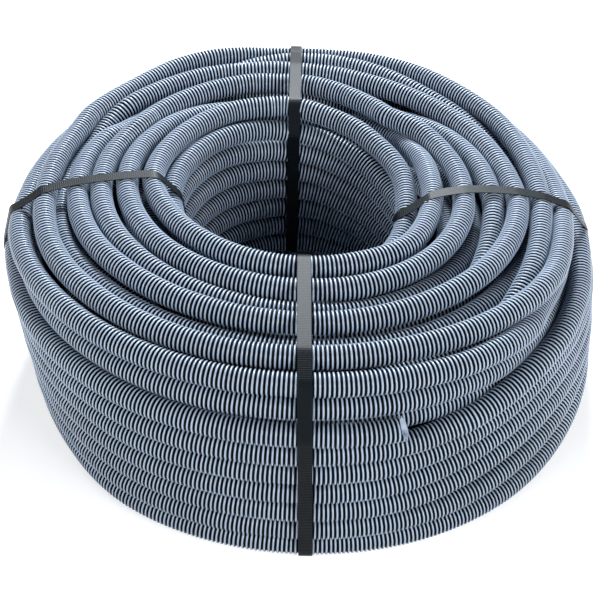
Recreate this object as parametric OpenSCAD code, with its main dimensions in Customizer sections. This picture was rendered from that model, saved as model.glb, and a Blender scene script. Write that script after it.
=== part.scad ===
// A long length of ribbed plastic hose, wound into a coil and tied with four flat straps.
// The coil stands upright on the undersides of its straps at z = 0, with its axis on Z.
// Angles go round the coil from its front (-Y) towards its right-hand side (+X).

/* [Hose] */
// Outside diameter of the hose, over its ribs
hose_d = 25; // [22:0.5:32]
// Wall of the hose under its grooves
hose_wall = 1.1; // [0.8:0.1:2]
// Distance from one rib to the next
rib_pitch = 4.2; // [3.4:0.1:5.6]
// Depth of the grooves between the ribs
groove_depth = 1.9; // [1:0.1:2.4]

/* [Coil] */
// Width across the middle of the coil, between its innermost turns
bore_d = 250; // [200:5:320]
// Turns in the inside wall of the coil, one above another
wall_turns = 8; // [6:1:8]
// Free space between one turn of a wall and the next
turn_gap = 0.5; // [0.5:0.1:1.2]
// Angle from the front strap to the cut outer end of the hose
end_angle = 18; // [12:0.5:24]

/* [Straps] */
// Width of a strap
strap_w = 13.5; // [9:0.5:19]
// Thickness of a strap
strap_t = 0.8; // [0.5:0.1:1.2]
// Length over which a strap's two ends lie on each other, welded
lap_l = 60; // [40:1:90]
// Angle of the front strap
front_angle = 0; // [-2:0.5:2]
// Angle of the right-hand strap
right_angle = 84; // [75:0.5:95]
// Angle of the back strap
back_angle = 184; // [170:0.5:190]
// Angle of the left-hand strap
left_angle = 276; // [265:0.5:285]

/* [Clearances] */
// Gap between a strap and the turns that it passes over
strap_gap = 0.3; // [0.2:0.05:0.5]
// Gap between the core and the turns round it
core_gap = 0.3; // [0.2:0.05:0.5]
// Gap between the cut outer end of the hose and the turn that it goes on from
joint_gap = 0.3; // [0.2:0.05:0.5]

/* [Hidden] */

hose_colour = "#9aa9bb";
core_colour = "#5d6876";
strap_colour = "#25292d";

ring_sides = 6;
rings_per_loop = 24;
rib_sides = 8;
strap_fn = 32;

// Turns over the top of the coil, from its bore to its shoulder
top_turns = 6;
// How far each turn over the top lies outside the inside wall, then the two of the shoulder
// and the place where the hose goes in behind the outermost layer, in hose diameters.
out_ratios = [0.25, 1.75, 2.65, 3.55, 4.45, 5.35, 6.25, 5.95, 5.95];
// How far the same turns lie above the top of the inside wall, in hose diameters: every
// second one sinks between its neighbours.
up_ratios = [1.32, 1.05, 0.5, 1, 0.6, 1, 0.22, -0.88, -1.94];
// How far the outermost layer lies outside the inside wall, in hose diameters.
layer_ratio = 6.88;
// How far the outer side of the core leans in from upright, to stay behind the shoulder.
core_lean = 14;

turn_pitch = hose_d + turn_gap;
low_z = strap_t + strap_gap + hose_d / 2;
inner_r = bore_d / 2 + hose_d / 2;
outer_r = inner_r + layer_ratio * hose_d;
outer_turns = wall_turns - 1;
wall_top = wall_z(wall_turns - 1);

// Height of turn i of a wall, counted from the bottom.
function wall_z(i) = low_z + i * turn_pitch;

// The hose as it crosses a section of the coil, [radius, height] turn by turn: down the
// outermost layer, once across the bottom, up the inside wall and out over the top.
stations = [
    for (i = [outer_turns - 1:-1:0]) [outer_r, wall_z(i)],
    [(outer_r + inner_r) / 2, low_z],
    for (i = [0:wall_turns - 1]) [inner_r, wall_z(i)],
    for (i = [0:len(out_ratios) - 1])
        [inner_r + out_ratios[i] * hose_d, wall_top + up_ratios[i] * hose_d]
];
loops = len(stations) - 1;

// [radius, height] after t loops; the hose moves steadily from one station to the next.
function at_loop(t) =
    let (i = min(floor(max(t, 0)), loops - 1))
    stations[i] + (t - i) * (stations[i + 1] - stations[i]);

// Unit vector out from the axis at an angle round the coil.
function outward(a) = [sin(a), -cos(a), 0];

// One ring of corners round a centre, in the plane of the axis at angle a, with a flat
// side outwards.
function ring(centre, a, radius, sides) = [
    for (k = [0:sides - 1])
        let (b = (k + 0.5) * 360 / sides)
        centre + radius * (cos(b) * outward(a) + sin(b) * [0, 0, 1])
];

// Triangles of the skin between rings of a tube; rings run in the order of their corners.
function skin_faces(count, sides, first = 0) = [
    for (i = [0:count - 2], k = [0:sides - 1])
        let (a = first + i * sides + k, b = first + i * sides + (k + 1) % sides)
        each [[a, a + sides, b], [b, a + sides, b + sides]]
];

function flipped(faces) = [for (f = faces) [f[2], f[1], f[0]]];

// Triangles that close a ring as a flat end.
function end_faces(first, sides) = [for (k = [1:sides - 2]) [first, first + k, first + k + 1]];

// Triangles between two rings that lie in one plane, as at the end of an open tube.
function rim_faces(outer, inner, sides) = [
    for (k = [0:sides - 1])
        let (n = (k + 1) % sides)
        each [[outer + k, outer + n, inner + k], [outer + n, inner + n, inner + k]]
];

// The wound hose. It leaves the front to the left, and each loop takes it once round.
function turn_centre(t) =
    let (p = at_loop(t))
    p[0] * outward(-360 * t) + [0, 0, p[1]];

first_centre = turn_centre(0);
last_centre = turn_centre(loops);
hose_way = [-1, 0, 0];

turn_rings = [
    ring(first_centre, 0, hose_d / 2, ring_sides),
    ring(first_centre + hose_d * hose_way, 0, hose_d / 2, ring_sides),
    for (i = [1:loops * rings_per_loop - 1])
        ring(turn_centre(i / rings_per_loop), -360 * i / rings_per_loop, hose_d / 2, ring_sides),
    ring(last_centre - hose_d * hose_way, 0, hose_d / 2, ring_sides),
    ring(last_centre, 0, hose_d / 2, ring_sides)
];

// The least gap between turns of the tube, from the places of all its turns in one section
// at four steps from each ring to the next. Rings have the same size and the same corners.
flat_half = hose_d / 2 * cos(180 / ring_sides);
function ring_gap(a, b) = max([
    for (k = [0:ring_sides - 1])
        (b - a) * [cos(k * 360 / ring_sides), sin(k * 360 / ring_sides)]
]) - 2 * flat_half;
gap_steps = rings_per_loop * 4;
least_gap = min([
    for (s = [0:gap_steps - 1])
        let (section = [for (i = [0:loops - 1]) at_loop(i + s / gap_steps)])
        for (i = [0:loops - 2], j = [i + 1:loops - 1]) ring_gap(section[i], section[j])
]);
echo(least_gap_between_turns = least_gap);

// The cut outer end of the hose: straight, then round with the outermost layer, then
// straight again, as far as whole ribs fit between the front strap and its angle.
end_l = outer_r * end_angle * PI / 180;
end_ribs = floor(end_l / rib_pitch);
end_straight = end_ribs * rib_pitch - hose_d;
function end_turn(s) = max(0, min(s, end_straight) - hose_d) / outer_r * 180 / PI;
function end_centre(s) =
    let (a = end_turn(s), before = min(s, hose_d), after = max(0, s - end_straight))
    [before + joint_gap, 0, first_centre[2] + s / (2 * PI * outer_r) * turn_pitch]
    + outer_r * outward(a) - after * [-cos(a), -sin(a), 0];
end_rings = [
    for (i = [0:2 * end_ribs])
        let (s = i * rib_pitch / 2, r = hose_d / 2 - (i % 2 == 0 ? groove_depth : 0))
        ring(end_centre(s), end_turn(s), r, rib_sides)
];
bore_rings = [
    for (i = [0:end_ribs])
        ring(end_centre(i * rib_pitch), end_turn(i * rib_pitch),
             hose_d / 2 - groove_depth - hose_wall, rib_sides)
];

// The turns of the inner layers, which nothing shows, as one plain ring. Its outer side goes
// straight up behind the outermost layer, and then leans in behind the turns of the shoulder.
module hose_core() {
    half = hose_d / 2 + core_gap;
    bottom = low_z + half;
    inside = inner_r + half;
    outside = outer_r - half;
    top = wall_top + min([for (i = [0:top_turns - 1]) up_ratios[i]]) * hose_d - half;
    lean = [cos(core_lean), sin(core_lean)];
    first_low = loops + 1 - len(out_ratios) + top_turns;
    reach = min([for (i = [first_low:loops]) lean * stations[i]]) - half;
    color(core_colour)
        rotate_extrude($fn = 96)
            polygon([
                [inside, bottom], [outside, bottom], [outside, (reach - lean[0] * outside) / lean[1]],
                [(reach - lean[1] * top) / lean[0], top], [inside, top]
            ]);
}

module hose_turns() {
    count = len(turn_rings);
    color(hose_colour)
        polyhedron(
            points = [for (r = turn_rings) each r],
            faces = concat(
                skin_faces(count, ring_sides),
                end_faces(0, ring_sides),
                flipped(end_faces((count - 1) * ring_sides, ring_sides))
            )
        );
}

module hose_outer_end() {
    outer_count = len(end_rings);
    bore_count = len(bore_rings);
    outer_last = (outer_count - 1) * rib_sides;
    bore_first = outer_count * rib_sides;
    bore_last = bore_first + (bore_count - 1) * rib_sides;
    color(hose_colour)
        polyhedron(
            points = [for (r = concat(end_rings, bore_rings)) each r],
            faces = concat(
                flipped(skin_faces(outer_count, rib_sides)),
                skin_faces(bore_count, rib_sides, bore_first),
                flipped(rim_faces(0, bore_first, rib_sides)),
                rim_faces(outer_last, bore_last, rib_sides)
            )
        );
}

// The outline of a strap's inner or outer face at an angle: pulled tight round the turns.
module strap_outline(a, away) {
    hull()
        for (i = [0:loops - 1])
            translate(at_loop(i + (360 - a) % 360 / 360))
                circle(hose_d / 2 + away, $fn = strap_fn);
}

// One flat strap, with its welded lap on the inside wall of the coil.
module strap(a) {
    inner_face = bore_d / 2 - strap_gap;
    color(strap_colour)
        rotate([0, 0, a - 90])
            rotate([90, 0, 0])
                linear_extrude(strap_w, center = true) {
                    difference() {
                        strap_outline(a, strap_gap + strap_t);
                        strap_outline(a, strap_gap);
                    }
                    translate([inner_face - 2 * strap_t, (low_z + wall_top - lap_l) / 2])
                        square([2 * strap_t, lap_l]);
                }
}

module strap_front() strap(front_angle);
module strap_right() strap(right_angle);
module strap_back() strap(back_angle);
module strap_left() strap(left_angle);

hose_core();
hose_turns();
hose_outer_end();
strap_front();
strap_right();
strap_back();
strap_left();
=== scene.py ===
import bisect
import math

import bmesh
import bpy
import numpy as np
from mathutils import Matrix, Vector


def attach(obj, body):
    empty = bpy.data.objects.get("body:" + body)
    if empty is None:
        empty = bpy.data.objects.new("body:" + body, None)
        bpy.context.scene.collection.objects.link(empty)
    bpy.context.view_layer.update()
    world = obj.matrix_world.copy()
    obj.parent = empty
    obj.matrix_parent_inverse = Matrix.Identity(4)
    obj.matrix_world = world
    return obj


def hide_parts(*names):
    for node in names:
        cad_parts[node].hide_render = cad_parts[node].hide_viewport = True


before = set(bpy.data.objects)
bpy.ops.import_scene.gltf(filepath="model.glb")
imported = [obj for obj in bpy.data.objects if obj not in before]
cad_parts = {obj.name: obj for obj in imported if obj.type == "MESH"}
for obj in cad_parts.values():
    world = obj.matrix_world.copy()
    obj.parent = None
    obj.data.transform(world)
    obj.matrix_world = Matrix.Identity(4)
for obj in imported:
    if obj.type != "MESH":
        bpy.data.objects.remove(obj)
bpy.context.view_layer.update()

scene = bpy.context.scene
scene.view_settings.view_transform = "Standard"
hoseD = 0.025  # outside diameter of the hose over its ribs; the lists below count in it

cameraView = {
    "place": (-0.0014, -1.1389, 1.0302),
    "down": 40.437,  # degrees below level
    "roll": 1.728,
    "focal": 79.32,
    "sensor": 36.0,
    "farthest": 20,
}


def makeCamera(v):
    down, roll = math.radians(v["down"]), math.radians(v["roll"])
    ahead = Vector((0, math.cos(down), -math.sin(down)))
    above = Vector((0, math.sin(down), math.cos(down)))
    side = Vector((1, 0, 0))
    right = side * math.cos(roll) + above * math.sin(roll)
    up = above * math.cos(roll) - side * math.sin(roll)
    data = bpy.data.cameras.new("camera")
    data.lens = v["focal"]
    data.sensor_width = v["sensor"]
    data.clip_end = v["farthest"]
    cam = bpy.data.objects.new("camera", data)
    scene.collection.objects.link(cam)
    turn = Matrix((right, up, -ahead)).transposed().to_4x4()
    cam.matrix_world = Matrix.Translation(Vector(v["place"])) @ turn
    scene.camera = cam


makeCamera(cameraView)
print("camera placed")

# Angles go round the coil from its front (-Y) towards +X and count on from turn to turn.
# The lists of places hold (angle, radius, height); radius and height are in hose diameters.
windings = {
    "lowest": 0.54,
    "levelStep": 1.05,  # from one turn of a layer up to the next
    "levelParts": 16,  # stations in a level turn
    "downShift": 0.45,  # a layer that goes down lies higher by this share of a step
    "crossZone": (100, 190),  # where a turn of an inner layer climbs to the next
    "rest": 90,  # angle in which the hose passes from one layer to the next
    # the inside wall of the bore
    "inside": 5.41,
    "boreStart": 190,
    "boreTurns": 7,
    "boreStep": 15,
    "boreClimb": (275, 360),  # where a turn climbs, counted from its own start
    # the inner layers from the bore outwards, (radius, turns)
    "columns": ((6.3, 6), (7.15, 6), (8.0, 6), (8.9, 6), (9.75, 5), (10.6, 5)),
    "lastColumn": 11.5,
    "lastColumnHeights": (1.0, 1.01, 5),  # lowest, step and number of turns
    # the way out along the floor to the outermost layer, (angle from the front, radius)
    "wayOut": ((-20, 11.5), (20, 11.75), (50, 11.95)),
    "wayOutFrom": -45,
    "pastFront": 60,  # how far past the front the layer before it may end
    # the outermost layer, and where each of its turns climbs beside the cut end
    "outside": 12.4,
    "outerStart": 92,
    "outerLevels": (0.54, 1.44, 2.47, 3.49, 4.54, 5.54),
    "outerZones": ((42, 88), (20, 76), (13, 60), (12, 60), (12, 60), (16, 60)),
    # how far the stacks of turns lean to one side, and the height at which they don't
    "leanRatio": 0.08,
    "leanMid": 4.5,
    # how far the outer side is pulled in at the left and at the right, (height, amount)
    "leftPull": ((0.5, 0.56), (1.5, 0.45), (2.5, 0.44), (3.5, 0.37), (5.5, 0.34), (6.5, 0.22), (8.0, 0.05)),
    "rightPull": ((0.5, 0.08), (3.5, 0.1), (4.5, 0.18), (5.5, 0.22), (6.5, 0.25), (8.0, 0.2), (9.0, 0.0)),
    # the angles between which that is full, and over which it fades beside them
    "leftZone": (256, 296),
    "rightZone": (64, 108),
    "pullFade": 36,
    "innerPull": 0.3,  # the share of it that reaches the bore
}
packing = {
    "step": 7.5,
    "rounds": 60,
    "pace": 0.6,
    "apart": 0.965,  # least distance between two turns
    "firmApart": 0.9,  # the same between two seen turns
    "firm": 0.02,  # how freely a seen turn moves
    "firmShare": 0.25,  # how much of what they lack two seen turns make up in a round
    "smoothing": 0.2,
    "behind": 0.86,  # least distance of a hidden turn from the outermost layer
    "wallTop": 6.2,  # height up to which that layer hides them
    "hiddenUntil": -35,  # where that ends, as an angle from the front where the layer starts
    "fromItself": 9,  # how far a turn counts as apart from itself
}

# How far the innermost turns are lifted and pushed out as they go round, (angle, amount);
# this grows from nothing at the floor to its full amount at the top
boreLift = [
    (0, 0.0), (45, -0.2), (90, -0.65), (120, -0.8), (145, -0.62), (170, -0.3), (190, -0.02), (225, 0.33),
    (250, 0.3), (300, 0.1), (360, 0.0),
]
borePush = [
    (0, 0.0), (60, -0.2), (95, -0.4), (117, -0.38), (140, -0.15), (160, 0.0), (200, 0.0), (235, 0.12),
    (280, 0.12), (320, 0.0), (360, 0.0),
]
# The last turn of the inside wall, which hangs into the bore before it crosses to the top
boreLast = [
    (190, 5.43, 7.9), (225, 5.6, 8.2), (270, 5.65, 8.08), (320, 5.35, 7.84), (360, 5.3, 7.82),
    (395, 5.05, 7.85), (417, 4.72, 7.92), (434, 4.44, 8.02), (446, 4.33, 8.1), (458, 4.35, 8.15),
    (466, 4.43, 8.2), (479, 4.53, 8.3), (490, 4.63, 8.4), (501, 4.77, 8.5), (511, 5.0, 8.6),
    (522, 5.27, 8.66), (532, 5.52, 8.75), (543, 5.87, 8.83), (549, 6.05, 8.85),
]
# From the inside wall out over the top and down again between the layers
topInner = [
    (195, 6.12, 8.85), (217, 6.42, 8.8), (264, 6.42, 8.75), (295, 5.92, 8.75), (316, 5.69, 8.77),
    (360, 5.53, 8.76), (382, 5.58, 8.75), (404, 5.72, 8.72), (426, 5.5, 8.66), (439, 5.4, 8.62),
    (455, 5.39, 8.6), (473, 5.63, 8.45), (490, 6.03, 8.2), (501, 6.4, 7.92), (511, 6.58, 7.72),
    (525, 6.7, 7.68), (540, 6.92, 7.78), (564, 7.28, 8.1), (584, 7.49, 8.45), (600, 7.52, 8.65),
    (625, 7.49, 8.75), (655, 7.24, 8.72), (698, 6.84, 8.68), (720, 6.78, 8.65), (742, 6.85, 8.65),
    (764, 6.88, 8.68), (785, 6.81, 8.7), (816, 6.63, 8.72), (845, 6.57, 8.75), (863, 6.52, 8.8),
    (872, 6.76, 8.8), (882, 7.15, 8.8), (891, 7.6, 8.8), (900, 7.94, 8.8), (909, 8.2, 8.8),
    (928, 8.41, 8.8), (956, 8.44, 8.78), (986, 8.52, 8.75), (1016, 8.38, 8.7), (1036, 8.11, 8.55),
    (1057, 7.8, 8.35), (1080, 7.66, 8.2), (1100, 7.64, 8.05), (1116, 7.58, 7.95), (1130, 7.4, 7.8),
    (1145, 7.2, 7.6), (1165, 7.0, 7.42), (1185, 6.8, 7.2), (1210, 6.55, 6.95), (1230, 6.4, 6.82),
    (1260, 6.3, 7.05), (1285, 6.28, 7.22), (1400, 6.28, 7.25), (1500, 6.28, 7.15), (1540, 6.3, 7.0),
]
topMiddle = [
    (190, 7.15, 6.87), (300, 7.4, 7.05), (340, 7.9, 7.15), (370, 8.32, 7.22), (395, 8.55, 7.55),
    (413, 8.53, 7.95), (418, 8.41, 8.1), (428, 8.17, 8.3), (437, 8.0, 8.5), (446, 7.92, 8.6),
    (456, 7.76, 8.62), (488, 7.68, 8.35), (509, 7.7, 7.95), (521, 7.95, 7.75), (540, 8.37, 7.8),
    (564, 8.97, 7.92), (578, 9.14, 8.05), (594, 9.25, 8.25), (604, 9.33, 8.45), (625, 9.49, 8.65),
    (656, 9.34, 8.7), (677, 8.98, 8.67), (698, 8.72, 8.62), (720, 8.64, 8.6), (752, 8.78, 8.68),
    (773, 8.97, 8.82), (783, 8.97, 8.8), (804, 8.93, 8.75), (814, 8.74, 8.72), (844, 8.53, 8.75),
    (872, 8.58, 8.8), (900, 8.9, 8.88), (910, 8.97, 8.92), (919, 9.3, 8.85), (928, 9.61, 8.82),
    (947, 9.76, 8.78), (957, 9.78, 8.6), (965, 9.9, 8.33), (973, 10.04, 8.14), (982, 10.2, 8.06),
    (1012, 10.2, 8.05), (1034, 9.88, 8.02), (1057, 9.58, 8.0), (1080, 9.52, 8.0), (1115, 9.68, 7.98),
    (1138, 9.74, 7.9), (1150, 9.74, 7.8), (1182, 9.7, 7.75), (1204, 9.6, 8.0), (1224, 9.48, 8.45),
    (1232, 9.55, 8.62), (1241, 9.74, 8.75), (1260, 9.94, 8.82), (1269, 9.96, 8.76), (1278, 10.02, 8.5),
    (1286, 10.17, 8.1), (1302, 10.4, 7.75), (1330, 10.25, 7.45), (1350, 10.0, 7.35), (1380, 9.65, 7.35),
    (1410, 9.35, 7.2), (1440, 9.2, 7.1), (1480, 8.9, 7.05), (1510, 8.5, 6.95), (1540, 8.2, 6.75),
]
topOuter = [
    (190, 8.9, 6.75), (250, 9.1, 6.7), (300, 9.6, 6.6), (340, 10.15, 6.7), (375, 10.5, 7.05),
    (395, 10.6, 7.5), (407, 10.58, 7.95), (411, 10.49, 8.1), (416, 10.33, 8.25), (426, 10.16, 8.4),
    (435, 9.98, 8.55), (444, 9.92, 8.65), (454, 9.83, 8.7), (464, 9.87, 8.7), (483, 10.19, 8.7),
    (502, 10.51, 8.7), (512, 10.79, 8.65), (522, 10.93, 8.6), (531, 11.08, 8.5), (540, 11.1, 8.48),
    (549, 11.12, 8.5), (559, 11.12, 8.7), (568, 11.16, 8.78), (587, 10.88, 8.7), (595, 10.82, 8.74),
    (603, 10.68, 8.7), (614, 10.6, 8.7), (627, 10.66, 8.76), (647, 10.9, 8.72), (657, 10.97, 8.7),
    (677, 10.83, 8.68), (699, 10.65, 8.65), (720, 10.54, 8.63), (741, 10.66, 8.65), (752, 10.82, 8.66),
    (763, 11.0, 8.66), (773, 11.16, 8.65), (784, 11.12, 8.58), (795, 10.88, 8.5), (806, 10.75, 8.38),
    (817, 10.68, 8.15), (829, 10.8, 7.93), (842, 11.02, 7.68), (853, 11.4, 7.57), (867, 11.6, 7.5),
    (900, 11.72, 7.4), (935, 11.7, 7.45), (950, 11.62, 7.6), (968, 11.48, 7.8), (978, 11.5, 7.88),
    (986, 11.56, 7.97), (994, 11.66, 8.06), (1003, 11.9, 8.12), (1014, 11.97, 8.2), (1036, 11.84, 8.25),
    (1058, 11.65, 8.25), (1080, 11.57, 8.25), (1102, 11.71, 8.22), (1113, 11.84, 8.2),
    (1123, 11.82, 8.12), (1130, 11.55, 7.98), (1137, 11.2, 7.8), (1144, 11.08, 7.62), (1151, 10.97, 7.52),
    (1160, 10.8, 7.42), (1175, 10.7, 7.3), (1200, 10.65, 7.05), (1260, 10.85, 6.95), (1310, 11.0, 6.9),
    (1340, 11.3, 7.0), (1370, 11.72, 7.28), (1400, 11.88, 7.4), (1440, 11.85, 7.38), (1470, 11.8, 7.2),
    (1485, 11.65, 6.95), (1505, 11.3, 6.7), (1540, 10.9, 6.6), (1600, 10.3, 6.6), (1630, 9.95, 6.5),
    (1720, 9.85, 6.4), (1900, 9.75, 6.29),
]
# The first turn of the last but one layer, which looks out beside the cut end
besideEnd = [
    (190, 10.9, 5.6), (230, 11.3, 5.65), (300, 11.4, 5.95), (340, 11.5, 6.2), (378, 11.76, 6.33),
    (392, 11.72, 6.3), (408, 11.45, 6.15), (430, 11.35, 5.7), (460, 11.4, 5.3),
]
# The last turn of the outermost layer, from its crossing to the cut end
lastTurn = [
    (21, 12.38, 5.6), (30, 12.38, 5.93), (40, 12.4, 6.32), (50, 12.4, 6.78), (60, 12.22, 6.98),
    (71, 11.98, 7.0), (75, 11.84, 7.06), (82, 11.7, 7.14), (90, 11.61, 7.2), (98, 11.53, 7.13),
    (106, 11.57, 7.02), (115, 11.74, 6.92), (125, 12.08, 6.75), (136, 12.3, 6.66), (150, 12.4, 6.6),
    (213, 12.45, 6.55), (240, 12.43, 6.55), (258, 12.33, 6.55), (268, 12.23, 6.55), (287, 12.23, 6.54),
    (301, 12.38, 6.54), (312, 12.4, 6.54), (360, 12.38, 6.53), (380, 12.38, 6.48),
]


def easeIn(t):
    t = min(max(t, 0), 1)
    return t * t * (3 - 2 * t)


# Full inside the zone, and fading out beside it
def zoneShare(angle, low, high, fade):
    at = (angle - (low + high) / 2 + 180) % 360 - 180
    return easeIn(((high - low) / 2 + fade - abs(at)) / fade)


# Where the coil's section leans or is pulled in at an angle, in proportion to the radius
def leaned(radius, height, angle):
    w = windings
    share = w["innerPull"] + (1 - w["innerPull"]) * (radius - w["inside"]) / (w["outside"] - w["inside"])
    pulled = 0
    for side in ("left", "right"):
        pull = w[side + "Pull"]
        amount = np.interp(height, [p[0] for p in pull], [p[1] for p in pull])
        pulled += float(amount) * zoneShare(angle, *w[side + "Zone"], w["pullFade"]) * share
    return radius + w["leanRatio"] * (w["leanMid"] - height) * math.sin(math.radians(angle)) - pulled


# A level stretch of one turn
def levelRun(radius, height, start, end):
    parts = windings["levelParts"]
    angles = [start + (end - start) * m / parts for m in range(parts + 1)]
    return [(angle, leaned(radius, height, angle), height) for angle in angles]


# Level turns, one above another; each climbs to the next inside the zone
def stackedTurns(radius, heights, start, zone):
    span = 360 - (zone[1] - zone[0])
    out = []
    for k, height in enumerate(heights):
        out += levelRun(radius, height, start + 360 * k, start + 360 * k + span)
    return out


def shifted(stations, by):
    return [(angle + by, radius, height) for angle, radius, height in stations]


# Smooth line through the stations that never swings past them
def smoothWay(stations):
    at = [s[0] for s in stations]
    slopes = []
    for k in (1, 2):
        rise = [(b[k] - a[k]) / (b[0] - a[0]) for a, b in zip(stations, stations[1:])]
        one = [rise[0]]
        for i in range(1, len(rise)):
            if rise[i - 1] * rise[i] <= 0:
                one.append(0.0)
                continue
            share = (at[i + 1] - at[i]) / (at[i + 1] - at[i - 1])
            mean = share * rise[i - 1] + (1 - share) * rise[i]
            most = 3 * min(abs(rise[i - 1]), abs(rise[i]))
            one.append(max(-most, min(most, mean)))
        one.append(rise[-1])
        slopes.append(one)

    def way(angle):
        i = min(max(bisect.bisect_right(at, angle) - 1, 0), len(at) - 2)
        gap = at[i + 1] - at[i]
        t = (angle - at[i]) / gap
        out = []
        for k in (1, 2):
            a, b = stations[i][k], stations[i + 1][k]
            u, v = slopes[k - 1][i], slopes[k - 1][i + 1]
            out.append((2 * t**3 - 3 * t * t + 1) * a + (t**3 - 2 * t * t + t) * gap * u
                       + (3 * t * t - 2 * t**3) * b + (t**3 - t * t) * gap * v)
        return out

    return way


# Turns that lie too close move apart, the hidden ones most, and their way is smoothed
def settled(stations, firmSpans, lastHidden, p):
    rough = smoothWay(stations)
    first, step = stations[0][0], p["step"]
    angles = np.append(np.arange(first, stations[-1][0] - 0.01, step), stations[-1][0])
    place = np.array([rough(a) for a in angles])
    free = np.ones(len(angles))
    for low, high in firmSpans:
        free[(angles >= low) & (angles <= high)] = p["firm"]
    hidden = [z < p["wallTop"] and a < lastHidden for a, (r, z) in zip(angles, place)]
    limit = np.array([leaned(windings["outside"], z, a) - p["behind"] if under else math.inf
                      for a, (r, z), under in zip(angles, place, hidden)])
    perTurn = round(360 / step)
    for _ in range(p["rounds"]):
        move = np.zeros_like(place)
        for k in range(perTurn):
            q, f = place[k::perTurn], free[k::perTurn]
            apart = q[:, None] - q[None]
            away = np.hypot(apart[..., 0], apart[..., 1]) + np.eye(len(q)) * p["fromItself"]
            both = f[:, None] + f[None]
            firm = both < 3 * p["firm"]
            lacking = np.maximum(np.where(firm, p["firmApart"], p["apart"]) - away, 0)
            share = f[:, None] / both * np.where(firm, p["firmShare"], 1) * lacking / away
            move[k::perTurn] += (apart * share[..., None]).sum(axis=1)
        place += p["pace"] * move
        bend = (place[:-2] + place[2:]) / 2 - place[1:-1]
        place[1:-1] += p["smoothing"] * (free * (free > 0.5))[1:-1, None] * bend
        place[:, 0] = np.minimum(place[:, 0], limit)
        place[:, 1] = np.maximum(place[:, 1], windings["lowest"])
    return [(float(a), float(r), float(z)) for a, (r, z) in zip(angles, place)]


# The turns up the inside wall of the bore
def boreWall(w):
    lift, push = [smoothWay([(a, v, 0.0) for a, v in one]) for one in (boreLift, borePush)]
    start, count, (climb, top) = w["boreStart"], w["boreTurns"], w["boreClimb"]
    stations = []
    for angle in range(start, start + 360 * count, w["boreStep"]):
        turnsDone, past = divmod(angle - start, 360)
        level = turnsDone + easeIn((past - climb) / (top - climb))
        height = w["lowest"] + w["levelStep"] * level + lift((past + start) % 360)[0] * level / count
        radius = leaned(w["inside"], height, angle) + push((past + start) % 360)[0] * level / count
        stations.append((angle, radius, height))
    return stations + shifted(boreLast, 360 * count)


# Out along the floor to the outermost layer, up its turns and on to the cut end
def outermostLayer(w, front):
    stations = [(front + angle, radius, w["lowest"]) for angle, radius in w["wayOut"]]
    start = w["outerStart"]
    for k, (height, zone) in enumerate(zip(w["outerLevels"], w["outerZones"])):
        turn = front + 360 * k
        stations += levelRun(w["outside"], height, turn + start, turn + 360 + zone[0])
        start = zone[1]
    return stations + shifted(lastTurn, front + 360 * len(w["outerLevels"]))


# The whole hose, from its inner end to its cut outer end, and where its stretches begin
def windHose(w):
    stations, marks = boreWall(w), {}
    step, zone = w["levelStep"], w["crossZone"]

    def levels(way, count):
        over = w["downShift"] if way == "down" else 0
        rows = [w["lowest"] + step * (j + over) for j in range(count)]
        return rows[::-1] if way == "down" else rows

    def lay(name, turns, base):
        marks[name] = base + turns[0][0]
        stations.extend(shifted(turns, base))

    def wind(name, radius, heights):
        marks[name] = stations[-1][0] + w["rest"]
        stations.extend(stackedTurns(radius, heights, marks[name], zone))

    base = 360 * (w["boreTurns"] + 1)
    tops = (("topInner", topInner), ("topMiddle", topMiddle), ("topOuter", topOuter))
    for k, (name, top) in enumerate(tops):
        lay(name, top, base)
        for j, way in ((2 * k, "down"), (2 * k + 1, "up")):
            radius, count = w["columns"][j]
            wind("column" + str(j + 1), radius, levels(way, count))
        base = stations[-1][0] - zone[0]
    lay("besideEnd", besideEnd, base)
    low, rise, count = w["lastColumnHeights"]
    wind("column7", w["lastColumn"], [low + rise * j for j in range(count)][::-1])
    front = math.ceil((stations[-1][0] - w["pastFront"]) / 360) * 360
    while stations[-1][0] > front + w["wayOutFrom"]:
        stations.pop()
    marks["outside"] = front
    return stations + outermostLayer(w, front), marks


wound, marks = windHose(windings)
firstAngle, lastAngle = wound[0][0], wound[-1][0]
# Stretches that are seen keep their places, (from, to) in degrees after the mark
seenSpans = {
    "topInner": (firstAngle - marks["topInner"], 930),
    "topMiddle": (215, 1105),
    "topOuter": (215, 1290),
    "besideEnd": (175, 225),
    "outside": (90, lastAngle - marks["outside"]),
}
firmSpans = [(marks[name] + low, marks[name] + high) for name, (low, high) in seenSpans.items()]
way = smoothWay(settled(wound, firmSpans, marks["outside"] + packing["hiddenUntil"], packing))
# Angles between the points at which the way is read
angleSteps = {"whole": 5, "line": 1.5, "path": 7.5, "crossing": 1.0}


def centreAt(angle):
    radius, height = way(angle)
    turn = math.radians(angle)
    return Vector((radius * math.sin(turn), -radius * math.cos(turn), height)) * hoseD


def stretch(start, end, step):
    count = max(2, round((end - start) / step))
    return [centreAt(start + (end - start) * i / count) for i in range(count + 1)]


def lengthOf(points):
    return sum((b - a).length for a, b in zip(points, points[1:]))


whole = lengthOf(stretch(firstAngle, lastAngle, angleSteps["whole"]))
print("hose wound:", round((lastAngle - firstAngle) / 360, 1), "turns,", round(whole, 1), "m")

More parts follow.
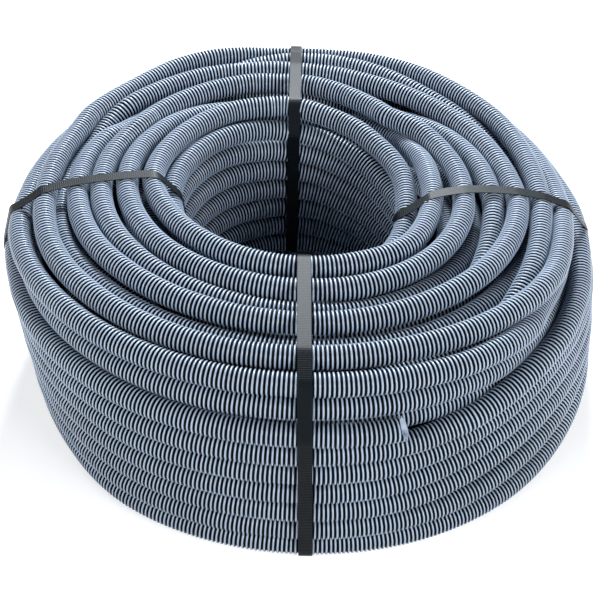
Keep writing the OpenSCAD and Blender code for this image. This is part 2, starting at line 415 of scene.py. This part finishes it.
# The hose in stretches: name, angle along the hose at which it starts, and whether it is ribbed.
# Those that can be seen from any side are; those buried in the coil are plain.
longRun = 810  # how far one of the longer stretches goes round
undersides = [marks[name] - 450 for name in ("column2", "column4", "column6")] + [marks["outside"] - 360]
cuts = [
    ("bore", firstAngle, True),
    ("innerTop", marks["topInner"], True),
    ("buriedA", marks["column1"], False),
    ("bottomA", undersides[0], True),
    ("buriedB", undersides[0] + longRun, False),
    ("middleTop", marks["topMiddle"], True),
    ("buriedC", marks["column3"], False),
    ("bottomB", undersides[1], True),
    ("buriedD", undersides[1] + longRun, False),
    ("outerTop", marks["topOuter"], True),
    ("shoulder", marks["topOuter"] + longRun, True),
    ("buriedE", marks["column5"], False),
    ("bottomC", undersides[2], True),
    ("buriedF", undersides[2] + longRun, False),
    ("besideEnd", marks["besideEnd"] + 130, True),
    ("buriedG", marks["besideEnd"] + 300, False),
    ("bottomD", undersides[3], True),
    ("wallLow", undersides[3] + longRun, True),
    ("wallMiddle", undersides[3] + 2 * longRun, True),
    ("wallHigh", lastAngle - 530, True),
    (None, lastAngle, True),
]

hoseFinish = {
    "crest": (0.44, 0.53, 0.67, 1),
    # painted shade: the grooves are coloured near black, standing in for the shadow that falls in them
    "groove": (0.003, 0.004, 0.008, 1),
    "grooveShadeEdge": (0.02, 0.5),  # depths, in shares, between which the crest colour turns into the painted groove shade
    "mottle": 0.12,
    "mottleScale": 9,
    "roughness": 0.5,
    "gloss": 0.04,
    "crestGloss": 1.0,
    "crestRoughness": 0.24,
}
strapFinish = {
    "colour": (0.001, 0.0016, 0.0024, 1),
    "roughness": 0.45,
    "gloss": 0.085,
    "glossTint": (0.55, 0.8, 1.0, 1),
    "overGloss": 0.125,  # a smoother gloss over the embossed one
    "overRoughness": 0.34,
    "diamond": 0.0022,  # size of the embossed pattern, m
    "relief": 0.0006,
    "depth": 0.45,  # how strongly it shows
    "wear": 0.35,
    "wearScale": 60,
}


# A maths node in any tree; numbers are set on its sockets and the rest is linked to them
def maths(tree, operation, *values):
    node = tree.nodes.new("ShaderNodeMath")
    node.operation = operation
    for socket, value in zip(node.inputs, values):
        if isinstance(value, (int, float)):
            socket.default_value = value
        else:
            tree.links.new(value, socket)
    return node.outputs[0]


def mapRange(tree, value, source, target=(0, 1), kind="LINEAR"):
    node = tree.nodes.new("ShaderNodeMapRange")
    node.interpolation_type = kind
    for name, number in zip(("From Min", "From Max", "To Min", "To Max"), (*source, *target)):
        node.inputs[name].default_value = number
    tree.links.new(value, node.inputs["Value"])
    return node.outputs["Result"]


def newMaterial(name):
    mat = bpy.data.materials.new(name)
    mat.use_nodes = True
    tree = mat.node_tree
    tree.nodes.clear()
    out, bsdf = tree.nodes.new("ShaderNodeOutputMaterial"), tree.nodes.new("ShaderNodeBsdfPrincipled")
    tree.links.new(bsdf.outputs[0], out.inputs["Surface"])
    return mat, tree, bsdf


# Slow change of tone over a piece, used by every plastic here
def makeMottle():
    g = bpy.data.node_groups.new("slowMottle", "ShaderNodeTree")
    g.interface.new_socket("Coordinates", in_out="INPUT", socket_type="NodeSocketVector")
    for name, value in (("Scale", 12.0), ("Amount", 0.1)):
        s = g.interface.new_socket(name, in_out="INPUT", socket_type="NodeSocketFloat")
        s.default_value = value
    g.interface.new_socket("Tone", in_out="OUTPUT", socket_type="NodeSocketFloat")
    enter, leave = g.nodes.new("NodeGroupInput"), g.nodes.new("NodeGroupOutput")
    noise = g.nodes.new("ShaderNodeTexNoise")
    noise.inputs["Detail"].default_value = 4
    g.links.new(enter.outputs["Coordinates"], noise.inputs["Vector"])
    g.links.new(enter.outputs["Scale"], noise.inputs["Scale"])
    centred = maths(g, "SUBTRACT", noise.outputs["Fac"], 0.5)
    scaled = maths(g, "MULTIPLY", centred, enter.outputs["Amount"])
    g.links.new(maths(g, "MULTIPLY_ADD", scaled, 2.0, 1.0), leave.inputs["Tone"])
    return g


mottle = makeMottle()


def mottledTone(tree, scale, amount):
    coords, tone = tree.nodes.new("ShaderNodeTexCoord"), tree.nodes.new("ShaderNodeGroup")
    tone.node_tree = mottle
    tone.inputs["Scale"].default_value = scale
    tone.inputs["Amount"].default_value = amount
    tree.links.new(coords.outputs["Object"], tone.inputs["Coordinates"])
    return tone.outputs["Tone"]


def hoseMaterial(f):
    mat, tree, bsdf = newMaterial("ribbedPlastic")
    groove = tree.nodes.new("ShaderNodeAttribute")
    groove.attribute_name = "groove"
    # The grooves take the near-black groove colour: painted shade in the recesses between the ribs.
    depth = mapRange(tree, groove.outputs["Fac"], f["grooveShadeEdge"], kind="SMOOTHSTEP")
    mix = tree.nodes.new("ShaderNodeMix")
    mix.data_type = "RGBA"
    mix.inputs[6].default_value = f["crest"]
    mix.inputs[7].default_value = f["groove"]
    tree.links.new(depth, mix.inputs[0])
    toned = tree.nodes.new("ShaderNodeHueSaturation")
    tree.links.new(mix.outputs[2], toned.inputs["Color"])
    tree.links.new(mottledTone(tree, f["mottleScale"], f["mottle"]), toned.inputs["Value"])
    tree.links.new(toned.outputs["Color"], bsdf.inputs["Base Color"])
    bsdf.inputs["Roughness"].default_value = f["roughness"]
    bsdf.inputs["Specular IOR Level"].default_value = f["gloss"]
    bsdf.inputs["Coat Roughness"].default_value = f["crestRoughness"]
    shine = mapRange(tree, depth, (0, 1), (f["crestGloss"], 0))  # only the crests shine
    tree.links.new(shine, bsdf.inputs["Coat Weight"])
    return mat


def strapMaterial(f):
    mat, tree, bsdf = newMaterial("embossedBand")
    bsdf.inputs["Base Color"].default_value = f["colour"]
    bsdf.inputs["Specular IOR Level"].default_value = f["gloss"]
    bsdf.inputs["Specular Tint"].default_value = f["glossTint"]
    bsdf.inputs["Coat Weight"].default_value = f["overGloss"]
    bsdf.inputs["Coat Roughness"].default_value = f["overRoughness"]
    uv = tree.nodes.new("ShaderNodeUVMap")
    uv.uv_map = "bandMap"
    apart = tree.nodes.new("ShaderNodeSeparateXYZ")
    tree.links.new(uv.outputs[0], apart.inputs[0])
    waves = []
    for sign in (1, -1):
        slope = maths(tree, "MULTIPLY_ADD", apart.outputs[1], sign, apart.outputs[0])
        waves.append(maths(tree, "SINE", maths(tree, "MULTIPLY", slope, math.pi / f["diamond"])))
    bump = tree.nodes.new("ShaderNodeBump")
    bump.inputs["Strength"].default_value = f["depth"]
    bump.inputs["Distance"].default_value = f["relief"]
    tree.links.new(maths(tree, "MULTIPLY", *waves), bump.inputs["Height"])
    tree.links.new(bump.outputs[0], bsdf.inputs["Normal"])
    rough = maths(tree, "MULTIPLY", mottledTone(tree, f["wearScale"], f["wear"]), f["roughness"])
    tree.links.new(rough, bsdf.inputs["Roughness"])
    return mat


ribbedPlastic = hoseMaterial(hoseFinish)
embossedBand = strapMaterial(strapFinish)
print("materials made")

ribs = {
    "Ring Spacing": 0.00105,
    "First Ring": 0.5,
    "Rings per Rib": 4,
    "Hose Radius": hoseD / 2 - 0.0006,  # a little less, so that turns stay apart
    "Groove Depth": 0.0018,
    "Sides": 14,
}
# its groove share comes to 1 all along, so a buried tube takes the near-black groove colour: painted shade
# inside the coil
plainTube = {
    "Ring Spacing": 0.03,
    "First Ring": 0.0,
    "Rings per Rib": 1,
    "Hose Radius": hoseD / 2 - 0.0008,
    "Groove Depth": 0.0,
    "Sides": 8,
}
ribWave = 0.7072  # so that the four rings of a rib come to a depth of 1, 0, 0 and 1
cutEnd = {
    "wall": 0.0012,
    "narrow": 0.0018,  # the bore narrows by this inside the wall
    "lip": 0.001,
    "shade": 0.35,  # painted shade inside the open bore, as a depth of groove
    "reach": 0.025,  # how much of the hose the cut can touch, m
    "slant": (0.48, 0.34),  # how far the cut faces up and out
    # the open bore: how far from that end it starts and stops, and its step, in degrees
    "boreOuter": (1.9, 6.9, 2.5),
    "boreInner": (1, 23, 5.5),
}


def makeTubeTree():
    t = bpy.data.node_groups.new("ribbedTube", "GeometryNodeTree")
    face = t.interface
    face.new_socket("Centreline", in_out="INPUT", socket_type="NodeSocketGeometry")
    for name in ("Ring Spacing", "First Ring", "Hose Radius", "Groove Depth"):
        face.new_socket(name, in_out="INPUT", socket_type="NodeSocketFloat")
    for name in ("Rings per Rib", "Sides"):
        face.new_socket(name, in_out="INPUT", socket_type="NodeSocketInt")
    face.new_socket("Finish", in_out="INPUT", socket_type="NodeSocketMaterial")
    face.new_socket("Tube", in_out="OUTPUT", socket_type="NodeSocketGeometry")
    enter, leave = t.nodes.new("NodeGroupInput"), t.nodes.new("NodeGroupOutput")
    ln = t.links.new

    toCurve = t.nodes.new("GeometryNodeMeshToCurve")
    ln(enter.outputs["Centreline"], toCurve.inputs["Mesh"])
    even = t.nodes.new("GeometryNodeResampleCurve")
    even.mode = "LENGTH"
    ln(toCurve.outputs[0], even.inputs["Curve"])
    ln(enter.outputs["Ring Spacing"], even.inputs["Length"])

    index = t.nodes.new("GeometryNodeInputIndex")
    along = t.nodes.new("GeometryNodeSplineParameter")
    perRib = enter.outputs["Rings per Rib"]
    placed = maths(t, "ADD", index.outputs[0], enter.outputs["First Ring"])
    share = maths(t, "DIVIDE", maths(t, "FLOORED_MODULO", placed, perRib), perRib)
    turn = maths(t, "MULTIPLY", share, 2 * math.pi)
    swell = maths(t, "MULTIPLY_ADD", maths(t, "COSINE", turn), ribWave, 0.5)
    groove = maths(t, "MINIMUM", maths(t, "MAXIMUM", swell, 0.0), 1.0)
    keep = even.outputs[0]
    for name, value in (("groove", groove), ("along", along.outputs["Length"])):
        store = t.nodes.new("GeometryNodeStoreNamedAttribute")
        store.data_type = "FLOAT"
        store.domain = "POINT"
        store.inputs["Name"].default_value = name
        ln(keep, store.inputs["Geometry"])
        ln(value, store.inputs["Value"])
        keep = store.outputs[0]

    circle = t.nodes.new("GeometryNodeCurvePrimitiveCircle")
    circle.inputs["Radius"].default_value = 1
    ln(enter.outputs["Sides"], circle.inputs["Resolution"])
    sunk = maths(t, "MULTIPLY", groove, enter.outputs["Groove Depth"])
    skin = t.nodes.new("GeometryNodeCurveToMesh")
    ln(keep, skin.inputs["Curve"])
    ln(circle.outputs["Curve"], skin.inputs["Profile Curve"])
    ln(maths(t, "SUBTRACT", enter.outputs["Hose Radius"], sunk), skin.inputs["Scale"])
    skin.inputs["Fill Caps"].default_value = True
    soft = t.nodes.new("GeometryNodeSetShadeSmooth")
    ln(skin.outputs[0], soft.inputs["Geometry"])
    real = t.nodes.new("GeometryNodeRealizeInstances")
    ln(soft.outputs[0], real.inputs["Geometry"])
    finish = t.nodes.new("GeometryNodeSetMaterial")
    ln(real.outputs[0], finish.inputs["Geometry"])
    ln(enter.outputs["Finish"], finish.inputs["Material"])
    ln(finish.outputs[0], leave.inputs["Tube"])
    return t


tubeTree = makeTubeTree()


def tubeAlong(name, points, sizes):
    line = bpy.data.meshes.new(name + "Line")
    line.from_pydata([p[:] for p in points], [(i, i + 1) for i in range(len(points) - 1)], [])
    obj = bpy.data.objects.new(name + "Line", line)
    scene.collection.objects.link(obj)
    mod = obj.modifiers.new("ribbedTube", "NODES")
    mod.node_group = tubeTree
    for item in tubeTree.interface.items_tree:
        if item.in_out == "INPUT" and item.name in sizes:
            mod[item.identifier] = sizes[item.name]
        elif item.in_out == "INPUT" and item.name == "Finish":
            mod[item.identifier] = ribbedPlastic
    graph = bpy.context.evaluated_depsgraph_get()
    mesh = bpy.data.meshes.new_from_object(obj.evaluated_get(graph))
    mesh.name = name
    obj.modifiers.clear()
    bpy.data.objects.remove(obj)
    bpy.data.meshes.remove(line)
    made = bpy.data.objects.new(name, mesh)
    scene.collection.objects.link(made)
    return made


# Cuts the hose off across the first of the points, and opens it inwards along them
def openEnd(obj, inward, cut, at, slant=(0, 0)):
    bm = bmesh.new()
    bm.from_mesh(obj.data)
    groove, along = bm.verts.layers.float.get("groove"), bm.verts.layers.float.get("along")
    here = inward[0]
    normal = (here - inward[1]).normalized() + Vector((0, 0, slant[0]))
    normal += Vector((here.x, here.y, 0)).normalized() * slant[1]
    verts = [v for v in bm.verts if abs(v[along] - at) < cut["reach"]]
    near = set(verts)
    edges = [e for e in bm.edges if all(v in near for v in e.verts)]
    faces = [f for f in bm.faces if all(v in near for v in f.verts)]
    bmesh.ops.bisect_plane(bm, geom=verts + edges + faces, plane_co=here, plane_no=normal, clear_outer=True)
    rim = [e for e in bm.edges if e.is_boundary]
    cap = bmesh.ops.edgeloop_fill(bm, edges=rim)["faces"][0]
    for v in cap.verts:
        v[groove] = 0.0
    bmesh.ops.inset_individual(bm, faces=[cap], thickness=cut["wall"])
    bmesh.ops.inset_individual(bm, faces=[cap], thickness=cut["narrow"], depth=-cut["lip"])
    for there in inward[1:]:
        cap = bmesh.ops.extrude_discrete_faces(bm, faces=[cap])["faces"][0]
        for v in cap.verts:
            v.co += there - here
            # the inside of the bore takes a dark share of the groove colour: painted shade
            v[groove] = cut["shade"]
        here = there
    bm.to_mesh(obj.data)
    bm.free()


runs = []
for (name, start, ribbed), (_, end, _) in zip(cuts, cuts[1:]):
    fine = stretch(start, end, angleSteps["line"])
    run = tubeAlong("hose_" + name, fine, ribs if ribbed else plainTube)
    runs.append((run, stretch(start, end, angleSteps["path"]), lengthOf(fine)))
first, last, step = cutEnd["boreOuter"]
bore = stretch(lastAngle - first, lastAngle - last, step)
openEnd(runs[-1][0], bore, cutEnd, runs[-1][2], cutEnd["slant"])
first, last, step = cutEnd["boreInner"]
openEnd(runs[0][0], stretch(firstAngle + first, firstAngle + last, step), cutEnd, 0)
for k, (run, points, length) in enumerate(runs):
    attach(run, "root")
    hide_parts("hose_core", "hose_turns", "hose_outer_end")
print("hose made in", len(runs), "runs,", sum(len(r[0].data.polygons) for r in runs), "faces")

# Each strap lies in the upright plane through an inner and an outer point (x, y). Planes and
# strays are in hose diameters, and the rest in metres.
straps = {
    "width": 0.0135,
    "thick": 0.0008,
    "bevel": 0.35,  # share of the thickness
    "gap": 0.0002,
    "spacing": 0.004,  # between the rows of corners along a strap
    "corner": 9,  # angle between the points of a turn that it goes round
    "easing": 12,  # rounds of smoothing of the sideways path
    "lap": (0.07, 0.13),  # heights between which a strap lies on itself, welded, in the bore
    "boreward": 0.7,  # how much it faces the bore there, at least
    "planes": {
        "strap_front": ((0.05, -5.4), (0.2, -12.9)),
        "strap_right": ((5.4, -0.85), (12.9, -0.35)),
        "strap_back": ((-0.56, 5.4), (-0.62, 12.9)),
        "strap_left": ((-5.4, -0.42), (-12.6, -2.08)),
    },
    # how far a strap strays sideways from its plane, (distance out, amount)
    "stray": {
        "strap_right": ((-1.4, 0.5), (-0.7, 0.35), (0.2, -0.06), (1.5, -0.2), (2.7, -0.12),
                        (4.3, 0.24), (5.2, 0.45), (5.9, 0.6), (6.5, 0.4), (6.9, -0.6)),
        "strap_left": ((0, 0), (1.1, 0.5), (3.1, 0.52), (4.5, 0.4), (5.5, 0.02), (6.5, -0.02), (7.1, 0.3)),
    },
    "lean": {"strap_front": -0.26},  # the same at the foot of the outer wall
    "leanFrom": (4, 2),  # distance out at which that begins, and over which it grows
    "coilHeight": 9.2,  # also in hose diameters
    "behind": 0.05,  # how far behind its inner point a strap still meets turns
}


# Where the hose passes through a strap's plane, as (distance out, height) in metres
def crossings(inner, ahead, across, strayed, behind):
    found = []
    before = None
    angle = firstAngle
    while angle <= lastAngle:
        p = centreAt(angle)
        off = (p - inner).dot(across) - strayed((p - inner).dot(ahead), p.z)
        if before and off * before[0] < 0 and (p - inner).dot(ahead) > -behind:
            share = before[0] / (before[0] - off)
            q = before[1].lerp(p, share)
            found.append(((q - inner).dot(ahead), q.z))
        before = (off, p)
        angle += angleSteps["crossing"]
    return found


# True when the way from a by b to c doesn't turn left
def turnsBack(a, b, c):
    return (b[0] - a[0]) * (c[1] - a[1]) - (b[1] - a[1]) * (c[0] - a[0]) <= 0


def outerHull(points):
    points = sorted(set(points))

    def half(seq):
        out = []
        for p in seq:
            while len(out) > 1 and turnsBack(out[-2], out[-1], p):
                out.pop()
            out.append(p)
        return out

    lower, upper = half(points), half(points[::-1])
    return lower[:-1] + upper[:-1]


def evenly(loop, step):
    out = []
    for a, b in zip(loop, loop[1:] + loop[:1]):
        count = max(1, math.ceil(math.dist(a, b) / step))
        out += [(a[0] + (b[0] - a[0]) * i / count, a[1] + (b[1] - a[1]) * i / count) for i in range(count)]
    return out


# The way of a strap, pulled tight round the hose: (point, outward normal, sideways shift)
def strapWay(name, inner, ahead, across, s):
    stray, lean = s["stray"].get(name, ((0, 0), (1, 0))), s["lean"].get(name, 0)
    leanFrom, leanOver = s["leanFrom"]

    def strayed(out, height):
        far = out / hoseD
        outward = min(max((far - leanFrom) / leanOver, 0), 1)
        footward = 1 - height / (s["coilHeight"] * hoseD)
        amount = np.interp(far, [a for a, b in stray], [b for a, b in stray])
        return float(amount + lean * outward * footward) * hoseD

    reach = ribs["Hose Radius"] + s["gap"]
    spokes = [math.radians(a) for a in range(0, 360, s["corner"])]
    dots = [(round(out + reach * math.cos(a), 6), round(height + reach * math.sin(a), 6))
            for out, height in crossings(inner, ahead, across, strayed, s["behind"]) for a in spokes]
    loop = evenly(outerHull(dots), s["spacing"])
    aside = np.array([strayed(out, height) for out, height in loop])
    for _ in range(s["easing"]):
        aside = (np.roll(aside, 1) + aside + np.roll(aside, -1)) / 3
    away = []
    for a, b in zip(loop[-1:] + loop, loop[1:] + loop[:1]):
        d = math.dist(a, b)
        away.append(((b[1] - a[1]) / d, -(b[0] - a[0]) / d))
    return list(zip(loop, away, [float(v) for v in aside]))


# Skin along rows of corners, with a map of the band's width and length for its pattern
def skinBand(bm, uv, rows, path, ring, closed):
    along, sides = 0.0, range(len(ring))
    for i in range(len(path) if closed else len(path) - 1):
        n = (i + 1) % len(path)
        step = math.dist(path[i][0], path[n][0])
        for j in sides:
            m = (j + 1) % len(ring)
            f = bm.faces.new((rows[i][j], rows[i][m], rows[n][m], rows[n][j]))
            f.smooth = True
            spots = ((ring[j][0], along), (ring[m][0], along),
                     (ring[m][0], along + step), (ring[j][0], along + step))
            for corner, spot in zip(f.loops, spots):
                corner[uv].uv = spot
        for j in sides:  # crisp along the band's edges, smooth along its length
            bm.edges.get((rows[i][j], rows[n][j])).smooth = False
        along += step
    if not closed:
        bm.faces.new(rows[0])
        bm.faces.new(rows[-1][::-1])


def makeStrap(name, inner, outer, s):
    inner, outer = [Vector((x, y, 0)) * hoseD for x, y in (inner, outer)]
    ahead = (outer - inner).normalized()
    across = ahead.cross(Vector((0, 0, 1)))
    band = strapWay(name, inner, ahead, across, s)
    low, high = s["lap"]
    lap = [p for p in band if p[1][0] < -s["boreward"] and low < p[0][1] < high]
    lap.sort(key=lambda p: -p[0][1])
    half, thick = s["width"] / 2, s["thick"]
    bevel = thick * s["bevel"]
    ring = [(-half, bevel), (-half, thick - bevel), (-half + bevel, thick), (half - bevel, thick),
            (half, thick - bevel), (half, bevel), (half - bevel, 0), (-half + bevel, 0)]
    bm = bmesh.new()
    uv = bm.loops.layers.uv.new("bandMap")
    for path, base, closed in ((band, 0.0, True), (lap, thick, False)):
        rows = []
        for (out, height), (nx, nz), shift in path:
            row = []
            for side, lift in ring:
                off = lift + base
                at = inner + ahead * (out + nx * off) + across * (side + shift)
                row.append(bm.verts.new(at + Vector((0, 0, height + nz * off))))
            rows.append(row)
        skinBand(bm, uv, rows, path, ring, closed)
    bmesh.ops.recalc_face_normals(bm, faces=bm.faces[:])
    mesh = bpy.data.meshes.new(name)
    bm.to_mesh(mesh)
    bm.free()
    mesh.materials.append(embossedBand)
    obj = bpy.data.objects.new(name.replace("strap", "band"), mesh)
    scene.collection.objects.link(obj)
    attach(obj, "root")
    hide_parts(name)


for name, (inner, outer) in straps["planes"].items():
    makeStrap(name, inner, outer, straps)
print("straps made")

studio = {
    "floorTone": 0.8,
    "floorRoughness": 0.9,
    "floorHalf": 6,
    "floorGlow": (0.56, 1.0),  # near the coil and far from the lamps
    "farFloor": (0.9, 3.0),  # distances between which one glow passes into the other
    "paintedShadowUnderCoil": (0.2, 0.3),  # painted shadow: the floor doesn't glow within the first of these distances, m, and its glow comes up to full by the second
    "worldFill": 0.03,
    "aim": (0, 0, 0.1),
    "back": {"place": (0.0, 1.7, 1.7), "size": (0.7, 0.9), "power": 124, "tint": (0.9, 0.96, 1.0)},
    "right": {"place": (1.5, -1.5, 1.1), "size": (1.1, 0.8), "power": 34, "tint": (0.95, 0.98, 1.0)},
    "left": {"place": (-1.5, -1.5, 1.1), "size": (1.1, 0.8), "power": 24, "tint": (0.95, 0.98, 1.0)},
}


# White for the eye and for reflections, without lighting the object more
def seenOnly(tree):
    path = tree.nodes.new("ShaderNodeLightPath")
    looked = maths(tree, "MAXIMUM", path.outputs["Is Camera Ray"], path.outputs["Is Glossy Ray"])
    return maths(tree, "MAXIMUM", looked, path.outputs["Is Transmission Ray"])


def makeFloor(s):
    mat, tree, bsdf = newMaterial("paleFloor")
    bsdf.inputs["Base Color"].default_value = (s["floorTone"],) * 3 + (1,)
    bsdf.inputs["Roughness"].default_value = s["floorRoughness"]
    bsdf.inputs["Emission Color"].default_value = (1, 1, 1, 1)
    coords, away = tree.nodes.new("ShaderNodeTexCoord"), tree.nodes.new("ShaderNodeVectorMath")
    away.operation = "LENGTH"
    tree.links.new(coords.outputs["Object"], away.inputs[0])
    # no glow under the coil and a ramp beside it: painted shadow on the floor
    clear = mapRange(tree, away.outputs["Value"], s["paintedShadowUnderCoil"])
    level = mapRange(tree, away.outputs["Value"], s["farFloor"], s["floorGlow"])
    glow = maths(tree, "MULTIPLY", maths(tree, "MULTIPLY", clear, seenOnly(tree)), level)
    tree.links.new(glow, bsdf.inputs["Emission Strength"])
    mesh = bpy.data.meshes.new("floor")
    h = s["floorHalf"]
    mesh.from_pydata([(-h, -h, 0), (h, -h, 0), (h, h, 0), (-h, h, 0)], [], [(0, 1, 2, 3)])
    mesh.materials.append(mat)
    floor = bpy.data.objects.new("floor", mesh)
    scene.collection.objects.link(floor)


def makeWorld(s):
    world = bpy.data.worlds.new("studio")
    scene.world = world
    world.use_nodes = True
    tree = world.node_tree
    tree.nodes.clear()
    out, back = tree.nodes.new("ShaderNodeOutputWorld"), tree.nodes.new("ShaderNodeBackground")
    tree.links.new(mapRange(tree, seenOnly(tree), (0, 1), (s["worldFill"], 1)), back.inputs["Strength"])
    tree.links.new(back.outputs[0], out.inputs["Surface"])


def makeLamp(name, lamp, aim):
    data = bpy.data.lights.new(name, "AREA")
    data.shape = "RECTANGLE"
    data.size, data.size_y = lamp["size"]
    data.energy = lamp["power"]
    data.color = lamp["tint"]
    obj = bpy.data.objects.new(name, data)
    scene.collection.objects.link(obj)
    obj.location = lamp["place"]
    obj.rotation_euler = (Vector(aim) - Vector(lamp["place"])).to_track_quat("-Z", "Y").to_euler()


makeFloor(studio)
makeWorld(studio)
for side in ("back", "right", "left"):
    makeLamp(side + "Lamp", studio[side], studio["aim"])
print("floor and light made")
